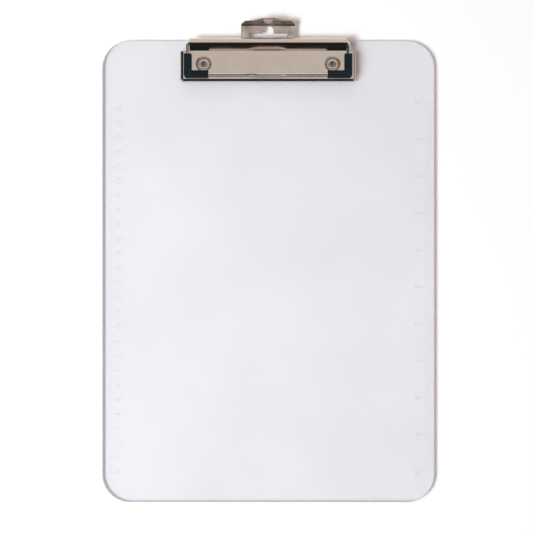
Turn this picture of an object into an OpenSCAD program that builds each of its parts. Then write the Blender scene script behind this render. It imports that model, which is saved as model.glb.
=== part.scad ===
// Clear plastic clipboard with a low lever clip: a pressed clip plate riveted to the board, a sprung
// wire bow with rubber corner grips that clamps the paper, and a hanger that slides out past the top edge.
// Millimetres. The origin is the centre of the board's back face. +X is right, +Y is towards the clip,
// and +Z comes out of the writing face.

/* [Board] */
// Width of the board, 9 inches
board_w = 228.6; // [215:0.1:240]
// Length of the board, 12.5 inches
board_l = 317.5; // [300:0.1:340]
// Thickness of the board, an eighth of an inch
board_t = 3.2; // [2.8:0.1:4]
// Corner radius of the board, three quarters of an inch
board_corner_r = 19; // [10:0.5:24]

/* [Clip plate] */
// Thickness of the sheet steel
sheet_t = 0.8; // [0.7:0.05:0.85]
// Width of the clip plate over its turned-down sides
plate_w = 121; // [118:0.5:124]
// Height of the plate's face above the board
plate_rise = 3; // [2.8:0.1:3.2]
// Outer radius of the turned-down rim
rim_r = 2.4; // [2:0.1:2.6]
// Distance between the two eyelets
eyelet_spacing = 88.5; // [80:0.5:92]

/* [Wire bow] */
// Diameter of the bow's spring wire
wire_d = 2.4; // [2:0.1:2.4]
// Distance from the hinge to the bow's front run
bow_reach = 22; // [20:0.5:23]
// Width of a corner grip
grip_w = 5.3; // [4.8:0.1:5.4]
// Height of a corner grip
grip_h = 4.6; // [4:0.1:4.8]
// Length of each leg of a corner grip
grip_leg = 16.8; // [14:0.1:17]

/* [Hanger] */
// Width of the hanger
hanger_w = 37; // [34:0.5:37]
// Thickness of the hanger
hanger_t = 0.9; // [0.7:0.05:0.9]
// Radius of the notch that hangs on a nail
nail_r = 3.8; // [3:0.1:4]

/* [Hidden] */
$fn = 64;
eps = 0.01;
steel = [0.74, 0.69, 0.65];

// Clip plate, from its front edge back to the barrel
plate_top = board_t + plate_rise;
plate_front_y = board_l/2 - 28.65;
shoulder_y = board_l/2 - 7.65;
slope_foot_y = board_l/2 - 7.3;

// Barrel, which is the hinge of the wire bow
hinge_y = board_l/2 - 1.75;
hinge_z = board_t + 4.25;
barrel_r = 3.05;
barrel_bore_r = barrel_r - sheet_t;
barrel_half = 53.8;
curl_end = 220;

// Angle at which the sloping face is tangent to the barrel
foot_dy = hinge_y - slope_foot_y;
foot_dz = hinge_z - plate_top;
slope_angle = atan2(foot_dz, foot_dy) + asin(barrel_r/norm([foot_dy, foot_dz]));
tangent_dir = [-sin(slope_angle), cos(slope_angle)];

// Tabs on the end of the barrel's curl, which stop and guide the hanger
tab_y = hinge_y - 2.4;
tab_gap = 0.1;
stop_tab_w = 6;
guide_tab_w = 4;
side_gap = 0.3;

// Eyelets, their dimples in the plate and their recesses in the board's back
eyelet_y = board_l/2 - 16.55;
eyelet_bore_r = 1.9;
shank_r = 2.4;
shank_hole_r = 2.45;
eyelet_roll_r = 0.5;
eyelet_ring_r = 2.95;
dimple_top_r = 5.5;
dimple_floor_r = 3.9;
recess_r = 5.6;
recess_depth = 1.2;
washer_r = 5.2;
washer_t = 0.5;
eyelet_foot = 0.15;

// Wire bow
wire_r = wire_d/2;
arm_x = 55.3;
rear_bend_r = 2;
front_bend_r = 3;
end_gap = 1;
grip_rest_gap = 0.1;
front_z = plate_top + grip_rest_gap + grip_h/2;
bow_tilt = asin((front_z - hinge_z)/bow_reach);
lift_inner_x = 6.5;
lift_outer_x = 15.2;
lift_rise = 1.5;
lift_forward = 0.4;
lift_lap = 0.5;
lift_steps = 12;
lift_inset = 0.03;
lift_sides = 12;
grip_bore_r = wire_r + 0.02;
grip_inset = 0.25;
grip_corner_r = 3.2;

// Torsion springs
spring_wire_r = 0.45;
spring_mean_r = 1.72;
spring_turns = 8;
spring_pitch = 1;
spring_outer_x = 53;
spring_steps = 16;
spring_sides = 6;

// Hanger
hanger_z = board_t + 0.1;
crossbar_l = 4.2;
crossbar_end_y = tab_y - 0.2;
leg_w = 5.3;
panel_y = board_l/2 + 4.75;
notch_y = board_l/2 + 6.15;
bend_y = board_l/2 + 10.45;
lip_angle = 50;
lip_run = 4.1;
lip_side_run = 2.6;
tongue_r = 3.6;

// A round rod from point p to point q
module rod(p, q, r) {
    d = q - p;
    translate(p)
        rotate([0, acos(d[2]/norm(d)), atan2(d[1], d[0])])
            cylinder(h = norm(d), r = r);
}

// An arc of round rod in the XY plane round the origin, from angle a through the angle turn
module arc(bend_r, r, a, turn) {
    rotate([0, 0, a])
        rotate_extrude(angle = turn)
            translate([bend_r, 0])
                circle(r = r);
}

// A rectangle centred on the origin with rounded corners
module rounded_rectangle(w, l, r) {
    square([w - 2*r, l], center = true);
    square([w, l - 2*r], center = true);
    for (sx = [-1, 1], sy = [-1, 1])
        translate([sx*(w/2 - r), sy*(l/2 - r)])
            circle(r = r);
}

module board() {
    color([0.9, 0.9, 0.92, 0.5])
        difference() {
            linear_extrude(board_t)
                rounded_rectangle(board_w, board_l, board_corner_r, $fn = 96);
            for (s = [-1, 1])
                translate([s*eyelet_spacing/2, eyelet_y, 0]) {
                    translate([0, 0, -eps])
                        cylinder(h = recess_depth + eps, r = recess_r);
                    cylinder(h = board_t + eps, r = shank_hole_r);
                }
        }
}

// The solid that fills the clip plate's pan, set in by t from its outer faces
module pan(t) {
    r = rim_r - t;
    x = plate_w/2 - rim_r;
    y = plate_front_y + rim_r;
    z = plate_top - rim_r;
    back = shoulder_y + (t > 0 ? 1 : 0);
    foot = board_t - (t > 0 ? 1 : 0);
    // middle of the pan, up to its face
    translate([-x, y, foot])
        cube([2*x, back - y, plate_top - t - foot]);
    // walls below the rounded rim
    translate([-x - r, y, foot])
        cube([2*(x + r), back - y, z - foot]);
    translate([-x, y - r, foot])
        cube([2*x, 2*r, z - foot]);
    // rounded rim and its two corners
    rod([-x, y, z], [x, y, z], r);
    for (s = [-1, 1]) {
        rod([s*x, y, z], [s*x, back, z], r);
        translate([s*x, y, z])
            sphere(r = r);
        translate([s*x, y, foot])
            cylinder(h = z - foot, r = r);
    }
}

// Section through the sloping face and the barrel, with Y across and Z up
module barrel_section() {
    centre = [hinge_y, hinge_z];
    foot = [slope_foot_y, plate_top];
    into = -sheet_t*tangent_dir;
    under_y = foot[0] + into[0] + (plate_top - sheet_t - foot[1] - into[1])/tan(slope_angle);
    polygon([
        [shoulder_y - 1, plate_top], foot, centre + barrel_r*tangent_dir,
        centre + barrel_bore_r*tangent_dir, [under_y, plate_top - sheet_t],
        [shoulder_y - 1, plate_top - sheet_t]
    ]);
    far = 3*barrel_r;
    difference() {
        translate(centre) circle(r = barrel_r);
        translate(centre) circle(r = barrel_bore_r);
        polygon([
            centre, centre + far*tangent_dir, centre + far*[-1, 0],
            centre + far*[cos(curl_end), sin(curl_end)]
        ]);
    }
}

// A tab that hangs from the end of the curl down to the board, from x0 to x1
module curl_tab(x0, x1) {
    translate([x0, tab_y, board_t + tab_gap])
        cube([x1 - x0, sheet_t, hinge_z - 1.65 - board_t - tab_gap]);
}

module clip_plate() {
    color(steel)
        difference() {
            union() {
                difference() {
                    pan(0);
                    pan(sheet_t);
                    // the plate ends at the board's face
                    translate([-plate_w, plate_front_y - rim_r, board_t - 2*rim_r])
                        cube([2*plate_w, shoulder_y - plate_front_y + 2*rim_r, 2*rim_r]);
                }
                translate([-barrel_half, 0, 0])
                    rotate([90, 0, 90])
                        linear_extrude(2*barrel_half)
                            barrel_section();
                curl_tab(-stop_tab_w/2, stop_tab_w/2);
                for (s = [-1, 1]) {
                    guide_x = s*(hanger_w/2 + side_gap + guide_tab_w/2);
                    curl_tab(guide_x - guide_tab_w/2, guide_x + guide_tab_w/2);
                    translate([s*eyelet_spacing/2, eyelet_y, board_t])
                        cylinder(h = plate_rise - sheet_t/2, r1 = dimple_floor_r + sheet_t,
                                 r2 = dimple_top_r + sheet_t);
                }
            }
            for (s = [-1, 1])
                translate([s*eyelet_spacing/2, eyelet_y, 0]) {
                    translate([0, 0, board_t + sheet_t])
                        cylinder(h = plate_rise - sheet_t + eps, r1 = dimple_floor_r, r2 = dimple_top_r);
                    cylinder(h = plate_top, r = shank_hole_r);
                }
        }
}

// The bow's front corner and what a grip covers of the wire, lying flat with the hinge on the X axis
module front_corner(r) {
    rod([arm_x, -rear_bend_r, 0], [arm_x, -bow_reach + front_bend_r, 0], r);
    translate([arm_x - front_bend_r, -bow_reach + front_bend_r, 0])
        arc(front_bend_r, r, -90, 90);
    rod([lift_outer_x, -bow_reach, 0], [arm_x - front_bend_r, -bow_reach, 0], r);
}

// One half of the bow's wire, up to the raised middle of its front run
module half_bow(r) {
    rod([end_gap, 0, 0], [arm_x - rear_bend_r, 0, 0], r);
    translate([arm_x - rear_bend_r, -rear_bend_r, 0])
        arc(rear_bend_r, r, 0, 90);
    front_corner(r);
}

// Centreline of the raised middle, which starts and ends inside the front run's two rods
function lift_share(x) = (1 - cos(180*min(1, max(0, (lift_outer_x - abs(x))/(lift_outer_x - lift_inner_x)))))/2;
function lift_route() =
    let (w = lift_outer_x - lift_inner_x)
    [
        for (x = [
            -lift_outer_x - lift_lap,
            for (i = [0 : lift_steps]) -lift_outer_x + i*w/lift_steps,
            for (i = [0 : lift_steps]) lift_inner_x + i*w/lift_steps,
            lift_outer_x + lift_lap
        ])
            [x, -bow_reach - lift_forward*lift_share(x), lift_rise*lift_share(x)]
    ];

// Puts something drawn in the bow's own plane in its place, at rest
module in_bow_plane() {
    translate([0, hinge_y, hinge_z])
        rotate([-bow_tilt, 0, 0])
            children();
}

module wire_bow() {
    color(steel)
        in_bow_plane() {
            half_bow(wire_r);
            mirror([1, 0, 0])
                half_bow(wire_r);
            swept_wire(lift_route(), wire_r - lift_inset, lift_sides);
        }
}

// Outline of the right-hand grip, seen from above
module grip_outline() {
    x1 = arm_x + grip_w/2 - grip_inset;
    y1 = -bow_reach - grip_w/2;
    r = grip_corner_r;
    translate([x1 - grip_w, y1 + r])
        square([grip_w, grip_leg - r]);
    translate([x1 - grip_leg, y1])
        square([grip_leg - r, grip_w]);
    translate([x1 - r, y1 + r])
        circle(r = r);
}

module right_grip() {
    color([0.07, 0.11, 0.14])
        difference() {
            translate([0, hinge_y, plate_top + grip_rest_gap])
                linear_extrude(grip_h)
                    grip_outline();
            in_bow_plane()
                front_corner(grip_bore_r);
        }
}

module left_corner_grip() {
    mirror([1, 0, 0])
        right_grip();
}

module right_corner_grip() {
    right_grip();
}

// Centreline of the right-hand spring: an inner leg that runs forward under the sloping face, the
// turns round the bow's wire, and an outer leg that lies along the top of the bow's arm
function spring_route() = [
    [spring_outer_x - spring_turns*spring_pitch, -3.1, -1.2],
    [spring_outer_x - spring_turns*spring_pitch, -2.4, -0.6],
    for (i = [0 : spring_turns*spring_steps])
        let (a = 180 - i*360/spring_steps - 90*(i/(spring_turns*spring_steps)))
        [
            spring_outer_x - spring_turns*spring_pitch + i*spring_pitch/spring_steps,
            spring_mean_r*cos(a), spring_mean_r*sin(a)
        ],
    [spring_outer_x + 1.1, -0.3, spring_mean_r + 0.02],
    [arm_x - 0.4, -1.3, spring_mean_r + 0.08],
    [arm_x, -3, spring_mean_r + 0.15],
    [arm_x, -6.5, spring_mean_r + 0.35]
];

// Rings of points round a route, each turned to face along it
function along(route, i) =
    let (a = route[max(i - 1, 0)], b = route[min(i + 1, len(route) - 1)])
    (b - a)/norm(b - a);
function ring(route, i, r, sides) =
    let (
        t = along(route, i),
        u = cross(t, abs(t[0]) > 0.7 ? [0, 0, 1] : [1, 0, 0]),
        v = cross(t, u/norm(u))
    )
    [for (k = [0 : sides - 1]) route[i] + r*(cos(360*k/sides)*u/norm(u) + sin(360*k/sides)*v)];

module swept_wire(route, r, sides) {
    last = len(route) - 1;
    points = [for (i = [0 : last]) each ring(route, i, r, sides)];
    walls = [
        for (i = [0 : last - 1], k = [0 : sides - 1])
            let (a = i*sides + k, b = i*sides + (k + 1)%sides)
            [a, a + sides, b + sides, b]
    ];
    polyhedron(
        points,
        concat([[for (k = [0 : sides - 1]) k]], walls, [[for (k = [sides - 1 : -1 : 0]) last*sides + k]])
    );
}

module right_torsion_spring() {
    color([0.6, 0.6, 0.62])
        translate([0, hinge_y, hinge_z])
            swept_wire(spring_route(), spring_wire_r, spring_sides);
}

module left_torsion_spring() {
    mirror([1, 0, 0])
        right_torsion_spring();
}

// Outline of the hanger seen from above, with the lip's gabled edge
module hanger_outline() {
    difference() {
        polygon([
            [-hanger_w/2, crossbar_end_y - crossbar_l], [hanger_w/2, crossbar_end_y - crossbar_l],
            [hanger_w/2, bend_y + 0.7], [hanger_w/2 - 2.7, bend_y + lip_side_run],
            [10, bend_y + lip_side_run + 0.2], [tongue_r + 0.5, bend_y + lip_run],
            [-tongue_r - 0.5, bend_y + lip_run], [-10, bend_y + lip_side_run + 0.2],
            [-hanger_w/2 + 2.7, bend_y + lip_side_run], [-hanger_w/2, bend_y + 0.7]
        ]);
        translate([-hanger_w/2 + leg_w, crossbar_end_y])
            square([hanger_w - 2*leg_w, panel_y - crossbar_end_y]);
        translate([-nail_r, panel_y - eps])
            square([2*nail_r, notch_y - panel_y + eps]);
        translate([0, notch_y])
            circle(r = nail_r);
    }
}

// Section through the hanger: flat, then its lip bent up
module hanger_section() {
    rise = lip_run*tan(lip_angle);
    polygon([
        [crossbar_end_y - crossbar_l - 1, hanger_z], [bend_y, hanger_z],
        [bend_y + lip_run + 1, hanger_z + rise + tan(lip_angle)],
        [bend_y + lip_run + 1, hanger_z + rise + tan(lip_angle) + hanger_t/cos(lip_angle)],
        [bend_y - hanger_t*tan(lip_angle/2), hanger_z + hanger_t],
        [crossbar_end_y - crossbar_l - 1, hanger_z + hanger_t]
    ]);
}

module hanger() {
    tongue_z = hanger_z + lip_run*tan(lip_angle);
    color(steel) {
        intersection() {
            linear_extrude(plate_top + 10)
                hanger_outline();
            translate([-hanger_w/2 - 1, 0, 0])
                rotate([90, 0, 90])
                    linear_extrude(hanger_w + 2)
                        hanger_section();
        }
        // finger tongue, folded forward from the top of the lip
        translate([0, bend_y + lip_run, tongue_z])
            intersection() {
                cylinder(h = hanger_t, r = tongue_r);
                translate([-tongue_r, -tongue_r, 0])
                    cube([2*tongue_r, tongue_r, hanger_t]);
            }
    }
}

module eyelet(s) {
    floor_z = board_t + sheet_t;
    color([0.8, 0.77, 0.74])
        translate([s*eyelet_spacing/2, eyelet_y, 0])
            rotate_extrude() {
                translate([eyelet_bore_r, eyelet_foot])
                    square([shank_r - eyelet_bore_r, floor_z + 2*eyelet_roll_r - 0.1 - eyelet_foot]);
                // rolled head on the floor of the dimple
                translate([eyelet_ring_r, floor_z + eyelet_roll_r])
                    circle(r = eyelet_roll_r, $fn = 32);
                translate([shank_r - eps, floor_z])
                    square([eyelet_ring_r - shank_r + eps, 2*eyelet_roll_r - 0.1]);
                // clinched foot on the washer
                translate([shank_r - eps, eyelet_foot])
                    square([1 + eps, recess_depth - washer_t - eyelet_foot]);
            }
}

module left_eyelet() {
    eyelet(-1);
}

module right_eyelet() {
    eyelet(1);
}

module washer(s) {
    color([0.7, 0.7, 0.7])
        translate([s*eyelet_spacing/2, eyelet_y, recess_depth - washer_t])
            difference() {
                cylinder(h = washer_t, r = washer_r);
                translate([0, 0, -eps])
                    cylinder(h = washer_t + 2*eps, r = shank_hole_r);
            }
}

module left_washer() {
    washer(-1);
}

module right_washer() {
    washer(1);
}

board();
clip_plate();
wire_bow();
left_corner_grip();
right_corner_grip();
left_torsion_spring();
right_torsion_spring();
hanger();
left_eyelet();
right_eyelet();
left_washer();
right_washer();
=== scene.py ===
"""A clear plastic clipboard with a low wire-bow clip.

Pieces are drawn in millimetres, and mesh_piece() and softened() turn them into metres. Bumps, the floor,
the lamps and the camera are in metres.
"""
import math

import bmesh
import bpy
from mathutils import Matrix, Vector


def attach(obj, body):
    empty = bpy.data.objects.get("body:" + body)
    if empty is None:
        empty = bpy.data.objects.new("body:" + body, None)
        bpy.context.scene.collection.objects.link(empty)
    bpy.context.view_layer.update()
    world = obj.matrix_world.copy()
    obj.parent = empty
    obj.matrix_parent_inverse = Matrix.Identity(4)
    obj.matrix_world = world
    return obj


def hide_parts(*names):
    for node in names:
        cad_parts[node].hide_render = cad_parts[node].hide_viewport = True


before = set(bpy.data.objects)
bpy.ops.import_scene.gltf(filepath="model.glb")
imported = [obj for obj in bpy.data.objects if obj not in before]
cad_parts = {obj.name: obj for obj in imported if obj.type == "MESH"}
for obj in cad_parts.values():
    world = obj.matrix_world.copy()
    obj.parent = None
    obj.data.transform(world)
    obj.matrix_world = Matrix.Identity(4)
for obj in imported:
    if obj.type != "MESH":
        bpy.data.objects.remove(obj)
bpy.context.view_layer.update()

MM = 0.001
ROOT, BOW, HANGER = "board_assembly", "bow", "hanger"

# Sizes that part.scad also has
BOARD_W, BOARD_L, BOARD_T, BOARD_R = 228.6, 317.5, 3.2, 19.0
HINGE_Y, HINGE_Z = 157.0, 7.45
EYELET_X, EYELET_Y = 44.25, 142.2
WIRE_R, ARM_X, BOW_REACH = 1.2, 55.3, 22.0
PLATE_TOP = 6.2
GRIP_W, GRIP_H, GRIP_LEG = 5.3, 4.6, 16.8
GRIP_BOTTOM = PLATE_TOP + 0.1
# A painted shadow along the board's left and lower edges: the shadow that these edges cast on the floor beneath,
# seen through the board, is painted into its colour. Its widths, its edge's softness, its colour
PAINTED_SHADOW_SHIFT = (2.4, 1.0)
PAINTED_SHADOW_BLUR = 0.15
PAINTED_SHADOW_COLOUR = (0.45, 0.43, 0.465, 1)
BOW_TILT = math.asin((GRIP_BOTTOM + GRIP_H/2 - HINGE_Z)/BOW_REACH)


# ---------------------------------------------------------------- materials

class Nodes:
    """Short names for making a material's nodes."""

    def __init__(self, name):
        self.material = bpy.data.materials.new(name)
        self.material.use_nodes = True
        self.tree = self.material.node_tree
        self.shader = self.tree.nodes["Principled BSDF"]
        self.coord = self.add("ShaderNodeTexCoord").outputs["Object"]

    def add(self, kind, **settings):
        node = self.tree.nodes.new(kind)
        for key, value in settings.items():
            setattr(node, key, value)
        return node

    def link(self, a, b):
        self.tree.links.new(a, b)

    def noise(self, scale, detail=3.0, stretch=(1, 1, 1), roughness=0.5):
        mapping = self.add("ShaderNodeMapping")
        mapping.inputs["Scale"].default_value = stretch
        self.link(self.coord, mapping.inputs["Vector"])
        node = self.add("ShaderNodeTexNoise")
        node.inputs["Scale"].default_value = scale
        node.inputs["Detail"].default_value = detail
        node.inputs["Roughness"].default_value = roughness
        self.link(mapping.outputs["Vector"], node.inputs["Vector"])
        return node.outputs["Fac"]

    def ramp(self, fac, low, high, start=0.3, end=0.7):
        node = self.add("ShaderNodeValToRGB")
        node.color_ramp.elements[0].position, node.color_ramp.elements[1].position = start, end
        node.color_ramp.elements[0].color, node.color_ramp.elements[1].color = (*low, 1), (*high, 1)
        self.link(fac, node.inputs["Fac"])
        return node.outputs["Color"]

    def spread(self, fac, low, high, start=0.3, end=0.7):
        node = self.add("ShaderNodeMapRange")
        for key, value in zip(("From Min", "From Max", "To Min", "To Max"), (start, end, low, high)):
            node.inputs[key].default_value = value
        self.link(fac, node.inputs["Value"])
        return node.outputs["Result"]

    def vector(self, operation, a, b=None):
        node = self.add("ShaderNodeVectorMath", operation=operation)
        for socket, value in zip(node.inputs, (a, b)):
            if isinstance(value, tuple):
                socket.default_value = value
            elif value is not None:
                self.link(value, socket)
        return node.outputs["Value" if operation == "LENGTH" else "Vector"]

    def outside_shifted_board(self):
        """The mask of the painted shadow: 1 where a point of the board is outside the board's own outline moved
        by the shadow's shift, else 0.
        """
        r = BOARD_R*MM
        inner = (BOARD_W*MM/2 - r, BOARD_L*MM/2 - r, 1.0)
        shift = (PAINTED_SHADOW_SHIFT[0]*MM, PAINTED_SHADOW_SHIFT[1]*MM, 0)
        from_centre = self.vector("ABSOLUTE", self.vector("SUBTRACT", self.coord, shift))
        q = self.vector("SUBTRACT", from_centre, inner)
        far = self.vector("LENGTH", self.vector("MAXIMUM", q, (0.0, 0.0, 0.0)))
        return self.spread(far, 0, 1, r - PAINTED_SHADOW_BLUR*MM, r + PAINTED_SHADOW_BLUR*MM)

    def bump(self, *layers):
        """Each layer is (height, distance in metres, strength)."""
        before = None
        for height, distance, strength in layers:
            node = self.add("ShaderNodeBump")
            node.inputs["Distance"].default_value = distance
            node.inputs["Strength"].default_value = strength
            self.link(height, node.inputs["Height"])
            if before:
                self.link(before, node.inputs["Normal"])
            before = node.outputs["Normal"]
        self.link(before, self.shader.inputs["Normal"])


def clear_plastic(name, alpha, low, high, with_painted_shadow=False):
    """Clear moulded plastic. With the shadow flag set, a painted shadow is drawn into the colour along two
    edges: their shadow on the floor beneath, seen through the board.
    """
    n = Nodes(name)
    n.shader.inputs["Alpha"].default_value = alpha
    n.shader.inputs["IOR"].default_value = 1.49
    n.shader.inputs["Specular IOR Level"].default_value = 0.3
    colour = n.ramp(n.noise(14, 3), low, high)
    # Painted shadow: a grey strip mixed into the colour inside the left and lower edges
    if with_painted_shadow:
        mix = n.add("ShaderNodeMix", data_type="RGBA")
        n.link(n.outside_shifted_board(), mix.inputs[0])
        n.link(colour, mix.inputs[6])
        mix.inputs[7].default_value = PAINTED_SHADOW_COLOUR
        colour = mix.outputs[2]
    n.link(colour, n.shader.inputs["Base Color"])
    scuffs = n.noise(900, 2, (1, 0.06, 1))
    n.link(n.spread(scuffs, 0.14, 0.26, 0.35, 0.75), n.shader.inputs["Roughness"])
    n.bump((n.noise(35, 2), 0.0004, 0.25), (n.noise(2600, 2), 0.00001, 0.3))
    return n.material


def plated(name, low, high, roughness, grain=(1, 1, 1), grain_scale=900, wave=0.2, tone_scale=60):
    """Plated metal: uneven colour and gloss, polishing lines along the grain, a long wave in the sheet."""
    n = Nodes(name)
    n.shader.inputs["Metallic"].default_value = 1.0
    n.link(n.ramp(n.noise(tone_scale, 4), low, high), n.shader.inputs["Base Color"])
    lines = n.noise(grain_scale, 3, grain)
    n.link(n.spread(lines, *roughness), n.shader.inputs["Roughness"])
    n.bump((n.noise(45, 1), 0.0006, wave), (lines, 0.00001, 0.25))
    return n.material


def rubber():
    """Blue-black moulded rubber with a fine grain."""
    n = Nodes("grip_rubber")
    colour = n.ramp(n.noise(160, 4), (0.002, 0.009, 0.013), (0.005, 0.016, 0.022))
    n.link(colour, n.shader.inputs["Base Color"])
    grain = n.noise(3800, 3)
    n.link(n.spread(grain, 0.34, 0.5), n.shader.inputs["Roughness"])
    n.shader.inputs["Specular IOR Level"].default_value = 0.28
    n.bump((grain, 0.00003, 0.35))
    return n.material


# The board's plastic, with the painted shadow inside its left and lower edges
PLASTIC = clear_plastic("clear_plastic", 0.36, (0.80, 0.795, 0.83), (0.85, 0.845, 0.88), with_painted_shadow=True)
# The board's side faces: the same plastic, less see-through, with a darker grey painted in as shade
PLASTIC_SIDE_SHADE = clear_plastic("clear_plastic_side_shade", 0.86, (0.60, 0.59, 0.64), (0.67, 0.66, 0.71))
PLASTIC_MARK = clear_plastic("clear_plastic_mark", 0.3, (0.70, 0.69, 0.74), (0.76, 0.75, 0.80))
NICKEL = plated("nickel_plate", (0.70, 0.635, 0.585), (0.76, 0.70, 0.65), (0.07, 0.16), (0.05, 1, 1))
HANGER_NICKEL = plated("nickel_hanger", (0.42, 0.37, 0.34), (0.74, 0.68, 0.64), (0.12, 0.24), (1, 0.05, 1),
                       tone_scale=170)
WIRE_NICKEL = plated("nickel_wire", (0.80, 0.75, 0.71), (0.88, 0.83, 0.79), (0.08, 0.18),
                     grain_scale=1500, wave=0.05)
EYELET_NICKEL = plated("nickel_eyelet", (0.76, 0.72, 0.68), (0.86, 0.83, 0.79), (0.05, 0.12),
                       grain_scale=1200, wave=0.1)
SPRING_STEEL = plated("spring_steel", (0.42, 0.42, 0.43), (0.58, 0.58, 0.60), (0.25, 0.4),
                      grain_scale=2000, wave=0.05)
RUBBER = rubber()


# ---------------------------------------------------------------- meshes

# Angles in degrees: faces closer than the first are one face, and edges sharper than the second are rounded
SAME_FACE_ANGLE, ROUNDED_ANGLE = 0.4, 40
# A wire's end is rounded off over these shares of its radius: how far in, and how wide there
ROUNDED_END = ((0, 0.72), (0.1, 0.9), (0.3, 1))


def finish_piece(obj, body, nodes=(), sharp=38):
    """Smooths a piece, sends it on its body, and hides the CAD nodes it stands for."""
    for polygon in obj.data.polygons:
        polygon.use_smooth = True
    if sharp:
        obj.data.set_sharp_from_angle(angle=math.radians(sharp))
    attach(obj, body)
    if nodes:
        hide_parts(*nodes)


def mesh_piece(name, points, faces, material, body, slot, nodes=(), sharp=38):
    """A piece from points in millimetres and faces."""
    mesh = bpy.data.meshes.new(name)
    mesh.from_pydata([Vector(p)*MM for p in points], [], faces)
    bm = bmesh.new()
    bm.from_mesh(mesh)
    bmesh.ops.recalc_face_normals(bm, faces=bm.faces)
    bm.to_mesh(mesh)
    bm.free()
    obj = bpy.data.objects.new(name, mesh)
    bpy.context.scene.collection.objects.link(obj)
    mesh.materials.append(material)
    finish_piece(obj, body, nodes, sharp)


def softened(name, node, width, material, body, segments=3, edge_material=None):
    """A copy of a CAD node with its sharp edges rounded to width millimetres."""
    obj = bpy.data.objects.new(name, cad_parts[node].data.copy())
    bpy.context.scene.collection.objects.link(obj)
    mesh = obj.data
    mesh.materials.clear()
    mesh.materials.append(material)
    if edge_material:
        mesh.materials.append(edge_material)
    bm = bmesh.new()
    bm.from_mesh(mesh)
    bmesh.ops.remove_doubles(bm, verts=bm.verts, dist=1e-6)
    bmesh.ops.dissolve_limit(bm, angle_limit=math.radians(SAME_FACE_ANGLE), verts=bm.verts, edges=bm.edges)
    limit = math.radians(ROUNDED_ANGLE)
    edges = [e for e in bm.edges if len(e.link_faces) == 2 and e.calc_face_angle() > limit]
    bmesh.ops.bevel(bm, geom=edges, offset=width*MM, offset_type="OFFSET", segments=segments, profile=0.5,
                    affect="EDGES", clamp_overlap=True)
    for face in bm.faces:
        face.material_index = 1 if edge_material and abs(face.normal.z) < 0.5 else 0
    bmesh.ops.triangulate(bm, faces=[f for f in bm.faces if len(f.verts) > 4])
    bm.to_mesh(mesh)
    bm.free()
    if "custom_normal" in mesh.attributes:
        mesh.attributes.remove(mesh.attributes["custom_normal"])
    finish_piece(obj, body, (node,), 30)
    # Large flat faces keep their own normals, so that reflections in them are clean
    weighted = obj.modifiers.new("weighted", "WEIGHTED_NORMAL")
    weighted.keep_sharp = True
    weighted.weight = 100


def loft(rings, closed_ends=True):
    """Points and faces of a skin over rings that all have the same number of points."""
    sides = len(rings[0])
    points = [p for ring in rings for p in ring]
    faces = [(i*sides + k, i*sides + (k + 1) % sides, (i + 1)*sides + (k + 1) % sides, (i + 1)*sides + k)
             for i in range(len(rings) - 1) for k in range(sides)]
    if closed_ends:
        faces += [tuple(range(sides))[::-1], tuple((len(rings) - 1)*sides + k for k in range(sides))]
    return points, faces


def swept(route, radius, sides):
    """A round wire along a route, with rounded-off ends. Its rings don't twist."""
    route = [Vector(p) for p in route]
    last = len(route) - 1
    tangents = [(route[min(i + 1, last)] - route[max(i - 1, 0)]).normalized() for i in range(last + 1)]
    u = tangents[0].orthogonal().normalized()
    rings = []
    for i, (p, t) in enumerate(zip(route, tangents)):
        u = (u - t*u.dot(t)).normalized()
        v = t.cross(u)
        steps = [(0, 1)]
        if i == 0:
            steps = [(along*radius, share) for along, share in ROUNDED_END]
        elif i == last:
            steps = [(-along*radius, share) for along, share in ROUNDED_END[::-1]]
        for along, share in steps:
            rings.append([p + t*along + radius*share*(math.cos(a)*u + math.sin(a)*v)
                          for a in (2*math.pi*k/sides for k in range(sides))])
    return loft(rings)


def lathe(profile, centre, segments=64):
    """Turns a closed profile of (radius, z) round an axis along Z through centre."""
    rings = [[(centre[0] + r*math.cos(a), centre[1] + r*math.sin(a), z) for r, z in profile]
             for a in (2*math.pi*k/segments for k in range(segments))]
    return loft(rings + [rings[0]], False)


def merge(parts):
    """Joins several (points, faces) into one."""
    points, faces = [], []
    for part_points, part_faces in parts:
        faces += [tuple(i + len(points) for i in f) for f in part_faces]
        points += list(part_points)
    return points, faces


def mirrored(points):
    """The same points on the other side of the board's middle."""
    return [(-p[0], p[1], p[2]) for p in points]


def in_bow_plane(p):
    """Takes a point from the flat bow, with its hinge at the origin, to the bow's place at rest."""
    return Matrix.Translation((0, HINGE_Y, HINGE_Z)) @ Matrix.Rotation(-BOW_TILT, 4, "X") @ Vector(p)


def arc_points(cx, cy, r, a0, a1, n):
    """n + 1 points on an arc from a0 to a1 degrees."""
    angles = [math.radians(a0 + (a1 - a0)*i/n) for i in range(n + 1)]
    return [(cx + r*math.cos(a), cy + r*math.sin(a), 0) for a in angles]


# ---------------------------------------------------------------- board and its scales

softened("clear_board", "board", 0.45, PLASTIC, ROOT, 4, PLASTIC_SIDE_SHADE)

MARK_H, MARK_SINK, MARK_W = 0.14, 0.04, 0.22


def tick(x0, x1, y, width=MARK_W):
    """A raised line across the board's edge with sloping sides."""
    z0, z1 = BOARD_T - MARK_SINK, BOARD_T + MARK_H
    h, t = width/2, width/5
    points = [(x0, y - h, z0), (x1, y - h, z0), (x1, y + h, z0), (x0, y + h, z0),
              (x0 + t, y - t, z1), (x1 - t, y - t, z1), (x1 - t, y + t, z1), (x0 + t, y + t, z1)]
    return points, [(3, 2, 1, 0), (4, 5, 6, 7), (0, 1, 5, 4), (1, 2, 6, 5), (2, 3, 7, 6), (3, 0, 4, 7)]


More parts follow.
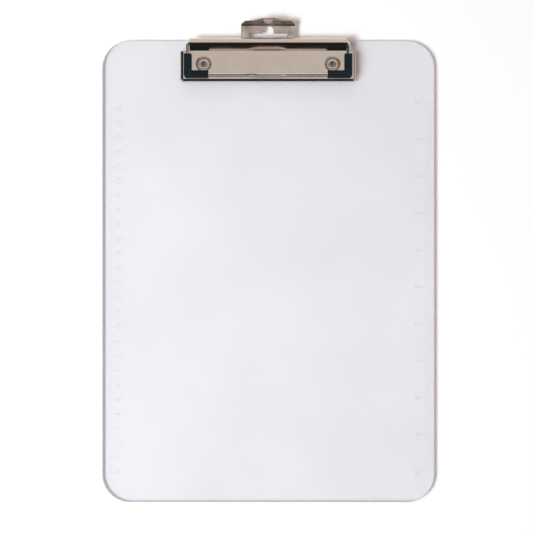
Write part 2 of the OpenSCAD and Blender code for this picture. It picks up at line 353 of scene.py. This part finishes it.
def digits(number, x, y, height, turn):
    """A number as raised marks. turn is the angle that its baseline is turned through."""
    curve = bpy.data.curves.new("digits", "FONT")
    curve.body = str(number)
    curve.size = height/0.7
    curve.align_x = curve.align_y = "CENTER"
    curve.resolution_u = 3
    curve.extrude = (MARK_H + MARK_SINK)/2
    holder = bpy.data.objects.new("digits", curve)
    bpy.context.scene.collection.objects.link(holder)
    bpy.context.view_layer.update()
    mesh = holder.evaluated_get(bpy.context.evaluated_depsgraph_get()).to_mesh()
    middle_z = BOARD_T + (MARK_H - MARK_SINK)/2
    place = Matrix.Translation((x, y, middle_z)) @ Matrix.Rotation(math.radians(turn), 4, "Z")
    points = [place @ v.co for v in mesh.vertices]
    faces = [tuple(p.vertices) for p in mesh.polygons]
    bpy.data.objects.remove(holder)
    bpy.data.curves.remove(curve)
    return points, faces


# Each scale's zero, the x where its ticks start at the board's edge, and the x and height of its numbers
INCH, INCHES, INCH_ZERO_Y, INCH_EDGE_X, INCH_DIGIT_X, INCH_DIGIT_H = 25.4, 10, 116.3, 112.87, 102.4, 3.7
CENTIMETRES, CM_ZERO_Y, CM_EDGE_X, CM_DIGIT_X, CM_DIGIT_H = 25, -138.2, -109.0, -102.8, 3.0

inch_marks = []
for i in range(16*INCHES + 1):
    start = 105.2 if i % 16 == 0 else 107.3 if i % 2 == 0 else 109.0
    inch_marks.append(tick(start, INCH_EDGE_X, INCH_ZERO_Y - i*INCH/16))
for i in range(INCHES + 1):
    inch_marks.append(digits(i, INCH_DIGIT_X, INCH_ZERO_Y - INCH*i, INCH_DIGIT_H, -90))
cm_marks = []
for i in range(10*CENTIMETRES + 1):
    end = -105.3 if i % 10 == 0 else -106.4 if i % 5 == 0 else -107.5
    cm_marks.append(tick(CM_EDGE_X, end, CM_ZERO_Y + i, 0.18))
for i in range(CENTIMETRES + 1):
    cm_marks.append(digits(i, CM_DIGIT_X, CM_ZERO_Y + 10*i, CM_DIGIT_H, 90))
for name, marks in (("inch_scale", inch_marks), ("centimetre_scale", cm_marks)):
    mesh_piece(name, *merge(marks), PLASTIC_MARK, ROOT, "clear_plastic", sharp=20)

# ---------------------------------------------------------------- wire bow and its grips

LIFT_INNER, LIFT_OUTER, LIFT_RISE, LIFT_FORWARD, LIFT_STEP = 6.5, 15.2, 1.5, 0.4, 0.4
REAR_BEND, FRONT_BEND, BEND_STEPS = 2, 3, 14
REAR_STEP, ARM_STEP, FRONT_STEP = 2, 1.7, 3.5


def lift(x):
    """A point of the raised middle of the front run."""
    share = min(1, max(0, (LIFT_OUTER - abs(x))/(LIFT_OUTER - LIFT_INNER)))
    share = (1 - math.cos(math.pi*share))/2
    return (x, -BOW_REACH - LIFT_FORWARD*share, LIFT_RISE*share)


half = [(1 + REAR_STEP*i, 0, 0) for i in range(26)]
half += arc_points(ARM_X - REAR_BEND, -REAR_BEND, REAR_BEND, 90, 0, BEND_STEPS)
half += [(ARM_X, -REAR_BEND - i*ARM_STEP, 0) for i in range(1, 10)]
half += arc_points(ARM_X - FRONT_BEND, -BOW_REACH + FRONT_BEND, FRONT_BEND, 0, -90, BEND_STEPS)
half += [(ARM_X - FRONT_BEND - i*FRONT_STEP, -BOW_REACH, 0) for i in range(1, 11)]
middle = [lift(LIFT_OUTER - i*LIFT_STEP) for i in range(int(2*LIFT_OUTER/LIFT_STEP) + 1)]
bow = [in_bow_plane(p) for p in half + middle + mirrored(half)[::-1]]
mesh_piece("bow_wire", *swept(bow, WIRE_R, 28), WIRE_NICKEL, BOW, "nickel_wire", ("wire_bow",))

# A grip: the radius of its section's corners, the two grooves in its top, and its bend on both sides
GRIP_ROUND, GROOVES, GROOVE_DEPTH = 0.9, 2, 0.36
GRIP_BEND_OUTER, GRIP_BEND_INNER, GRIP_BEND_STEPS = 2.7, 0.35, 14


def grip_section():
    """The grip's section as (distance in from the outer side, height), with shallow grooves along its top."""
    r, steps, section = GRIP_ROUND, 6, []
    corners = ((r, r, 180), (GRIP_W - r, r, 270), (GRIP_W - r, GRIP_H - r, 0), (r, GRIP_H - r, 90))
    for index, (cx, cz, a0) in enumerate(corners):
        for i in range(steps + 1):
            a = math.radians(a0 + 90*i/steps)
            section.append((cx + r*math.cos(a), cz + r*math.sin(a)))
        if index == 2:
            # The grooved top, from the inner side to the outer
            points = GROOVES*8
            for i in range(1, points):
                s = i/points
                dip = GROOVE_DEPTH*(0.5 - 0.5*math.cos(2*math.pi*s*GROOVES))
                section.append((GRIP_W - r - s*(GRIP_W - 2*r), GRIP_H - dip))
    return section


def grip_points():
    """Rings of the right-hand grip, from its rear end round the corner to the end on the front run."""
    x1, y1 = ARM_X + GRIP_W/2 - 0.25, -BOW_REACH - GRIP_W/2
    section = grip_section()
    centre = (GRIP_W/2, GRIP_H/2)
    ends = ((0.0, 0.86), (0.12, 0.94), (0.35, 0.985), (0.7, 1.0))

    def shrunk(share):
        return [(centre[0] + (s - centre[0])*share, centre[1] + (h - centre[1])*share) for s, h in section]

    def at(s, h, x, y):
        return (x, HINGE_Y + y, GRIP_BOTTOM + h)

    rings = []
    for inset, share in ends:
        rings.append([at(s, h, x1 - s, y1 + GRIP_LEG - inset) for s, h in shrunk(share)])
    for i in range(GRIP_BEND_STEPS + 1):
        angle = -math.radians(90*i/GRIP_BEND_STEPS)
        ring = []
        for s, h in section:
            r = GRIP_BEND_OUTER + (GRIP_BEND_INNER - GRIP_BEND_OUTER)*s/GRIP_W
            ring.append(at(s, h, x1 - s - r + r*math.cos(angle), y1 + s + r + r*math.sin(angle)))
        rings.append(ring)
    for inset, share in ends[::-1]:
        rings.append([at(s, h, x1 - GRIP_LEG + inset, y1 + s) for s, h in shrunk(share)])
    return rings


grip, grip_faces = loft(grip_points())
mesh_piece("grip_right", grip, grip_faces, RUBBER, BOW, "grip_rubber", ("right_corner_grip",), 50)
mesh_piece("grip_left", mirrored(grip), grip_faces, RUBBER, BOW, "grip_rubber", ("left_corner_grip",), 50)

# ---------------------------------------------------------------- clip plate, hanger, eyelets, washers, springs

# The clip plate keeps its CAD mesh, whose exact normals give clean reflections
for material_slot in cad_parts["clip_plate"].material_slots:
    material_slot.material = NICKEL
softened("hanger_pressed", "hanger", 0.16, HANGER_NICKEL, HANGER)


def eyelet_profile():
    """Closed section of an eyelet: bore, rolled head, shank and clinched foot, going round once."""
    bore, shank, ring, floor, foot = 1.9, 2.4, 2.95, 4.0, 0.15
    profile = [(bore, foot + 0.2), (bore, floor + 0.55)]
    profile += [(ring - 0.35 + 0.7*math.cos(math.radians(a)), floor + 0.45 + 0.5*math.sin(math.radians(a)))
                for a in (165, 145, 120, 90, 65, 45, 25, 0, -30, -60)]
    profile += [(shank + 0.1, floor + 0.02), (shank, floor - 0.1), (shank, foot + 0.6)]
    profile += [(shank + 0.9 + 0.1*math.sin(math.radians(a)), foot + 0.3 + 0.25*math.cos(math.radians(a)))
                for a in (0, 45, 90, 135, 180)]
    return profile + [(bore + 0.2, foot)]


for side, sign in (("left", -1), ("right", 1)):
    mesh_piece(f"eyelet_{side}", *lathe(eyelet_profile(), (sign*EYELET_X, EYELET_Y)), EYELET_NICKEL, ROOT,
               "nickel_eyelet", (f"{side}_eyelet",), 60)
    softened(f"washer_{side}", f"{side}_washer", 0.08, EYELET_NICKEL, ROOT, 2)

# SPRING_STEPS is the number of points in a turn, and a turn takes 1 mm of the coil's length
SPRING_R, SPRING_MEAN, SPRING_TURNS, SPRING_OUTER_X, SPRING_STEPS = 0.45, 1.72, 8, 53.0, 32
inner_x = SPRING_OUTER_X - SPRING_TURNS
coil = []
for i in range(SPRING_TURNS*SPRING_STEPS + 1):
    a = math.radians(180 - 360*i/SPRING_STEPS - 90*i/(SPRING_TURNS*SPRING_STEPS))
    coil.append((inner_x + i/SPRING_STEPS, SPRING_MEAN*math.cos(a), SPRING_MEAN*math.sin(a)))
inner_leg = [(inner_x, -3.1, -1.2), (inner_x, -2.4, -0.6)]
outer_leg = [(54.1, -0.3, 1.74), (54.9, -1.3, 1.8), (ARM_X, -3, 1.87), (ARM_X, -6.5, 2.07)]
# The outer leg has a quarter turn that lies in the coil at rest and keeps the two together as the bow opens.
# It is slightly thinner, so that it is hidden there
spring_parts = (("coil", inner_leg + coil, SPRING_R, ROOT),
                ("leg", coil[-SPRING_STEPS//4 - 1:] + outer_leg, SPRING_R*0.98, BOW))
for part, route, radius, body in spring_parts:
    route = [(x, HINGE_Y + y, HINGE_Z + z) for x, y, z in route]
    for side, points in (("right", route), ("left", mirrored(route))):
        mesh_piece(f"spring_{part}_{side}", *swept(points, radius, 12), SPRING_STEEL, body, "spring_steel",
                   (f"{side}_torsion_spring",), 60)

# ---------------------------------------------------------------- floor, light and camera

FLOOR_HALF, FLOOR_Z = 4, -0.0003
floor_mesh = bpy.data.meshes.new("floor")
floor_corners = [(x*FLOOR_HALF, y*FLOOR_HALF, FLOOR_Z) for x, y in ((-1, -1), (1, -1), (1, 1), (-1, 1))]
floor_mesh.from_pydata(floor_corners, [], [(0, 1, 2, 3)])
floor = bpy.data.objects.new("floor", floor_mesh)
bpy.context.scene.collection.objects.link(floor)
paper = Nodes("floor_paper")
paper_colour = paper.ramp(paper.noise(3, 2), (0.93, 0.93, 0.93), (0.95, 0.95, 0.95))
paper.link(paper_colour, paper.shader.inputs["Base Color"])
paper.shader.inputs["Roughness"].default_value = 0.9
paper.shader.inputs["Specular IOR Level"].default_value = 0.1
floor_mesh.materials.append(paper.material)


def room():
    """A soft room: grey-tan overhead, bright to the rear, brown to the right, dark to the left and the front."""
    world = bpy.data.worlds.new("room")
    bpy.context.scene.world = world
    world.use_nodes = True
    tree = world.node_tree
    tree.nodes.clear()

    def add(kind, **settings):
        node = tree.nodes.new(kind)
        for key, value in settings.items():
            setattr(node, key, value)
        return node

    def step(value, start, end):
        node = add("ShaderNodeMapRange", interpolation_type="SMOOTHSTEP")
        node.inputs["From Min"].default_value, node.inputs["From Max"].default_value = start, end
        tree.links.new(value, node.inputs["Value"])
        return node.outputs["Result"]

    axes = add("ShaderNodeSeparateXYZ")
    tree.links.new(add("ShaderNodeTexCoord").outputs["Generated"], axes.inputs[0])
    colour = (0.69, 0.63, 0.59, 1)
    # Each side is (axis, where along it the side starts and is full, colour, half-width across the other axis).
    # A side with a half-width fades out over fade beyond it
    fade = 0.25
    sides = (("X", (0.20, 0.65), (0.36, 0.27, 0.21, 1), None),
             ("Y", (0.08, 0.55), (0.80, 0.69, 0.63, 1), None),
             ("X", (-0.08, -0.32), (0.012, 0.012, 0.014, 1), 0.3),
             ("Y", (-0.06, -0.30), (0.02, 0.016, 0.014, 1), 0.3))
    for axis, (start, end), there, half_width in sides:
        share = step(axes.outputs[axis], start, end)
        if half_width:
            across = add("ShaderNodeMath", operation="ABSOLUTE")
            tree.links.new(axes.outputs["Y" if axis == "X" else "X"], across.inputs[0])
            both = add("ShaderNodeMath", operation="MULTIPLY")
            tree.links.new(share, both.inputs[0])
            tree.links.new(step(across.outputs[0], half_width + fade, half_width), both.inputs[1])
            share = both.outputs[0]
        mix = add("ShaderNodeMix", data_type="RGBA")
        tree.links.new(share, mix.inputs[0])
        if isinstance(colour, tuple):
            mix.inputs[6].default_value = colour
        else:
            tree.links.new(colour, mix.inputs[6])
        mix.inputs[7].default_value = there
        colour = mix.outputs[2]
    lit, plain = add("ShaderNodeBackground"), add("ShaderNodeBackground")
    tree.links.new(colour, lit.inputs["Color"])
    plain.inputs["Color"].default_value = (1, 1, 1, 1)
    seen = add("ShaderNodeLightPath")
    choose = add("ShaderNodeMixShader")
    tree.links.new(seen.outputs["Is Camera Ray"], choose.inputs[0])
    tree.links.new(lit.outputs[0], choose.inputs[1])
    tree.links.new(plain.outputs[0], choose.inputs[2])
    tree.links.new(choose.outputs[0], add("ShaderNodeOutputWorld").inputs[0])


room()


def lamp(name, kind, energy, towards, colour=(1, 1, 1), place=None, size=0.5, angle=10):
    """A lamp that shines from the direction towards. It lights surfaces but doesn't show in the metal."""
    light = bpy.data.lights.new(name, kind)
    light.energy = energy
    light.color = colour
    if kind == "AREA":
        light.size = size
    else:
        light.angle = math.radians(angle)
    obj = bpy.data.objects.new(name, light)
    bpy.context.scene.collection.objects.link(obj)
    obj.rotation_euler = Vector(towards).to_track_quat("Z", "Y").to_euler()
    if place:
        obj.location = place
    obj.visible_glossy = False


lamp("key", "SUN", 1.99, (-0.75, -0.31, 1.0), (0.96, 1.0, 1.02), angle=22)
lamp("window", "AREA", 2.8, (-0.59, -0.2, 0.78), (0.90, 1.0, 1.09), (-0.45, -0.15, 0.6), size=0.4)

CAMERA_HEIGHT = 1.1
camera = bpy.data.objects.new("camera", bpy.data.cameras.new("camera"))
bpy.context.scene.collection.objects.link(camera)
camera.data.sensor_width = 36
camera.data.lens = 108
camera.location = (-0.00107, 0.0034, BOARD_T*MM + CAMERA_HEIGHT)
bpy.context.scene.camera = camera
bpy.context.scene.view_settings.view_transform = "Standard"
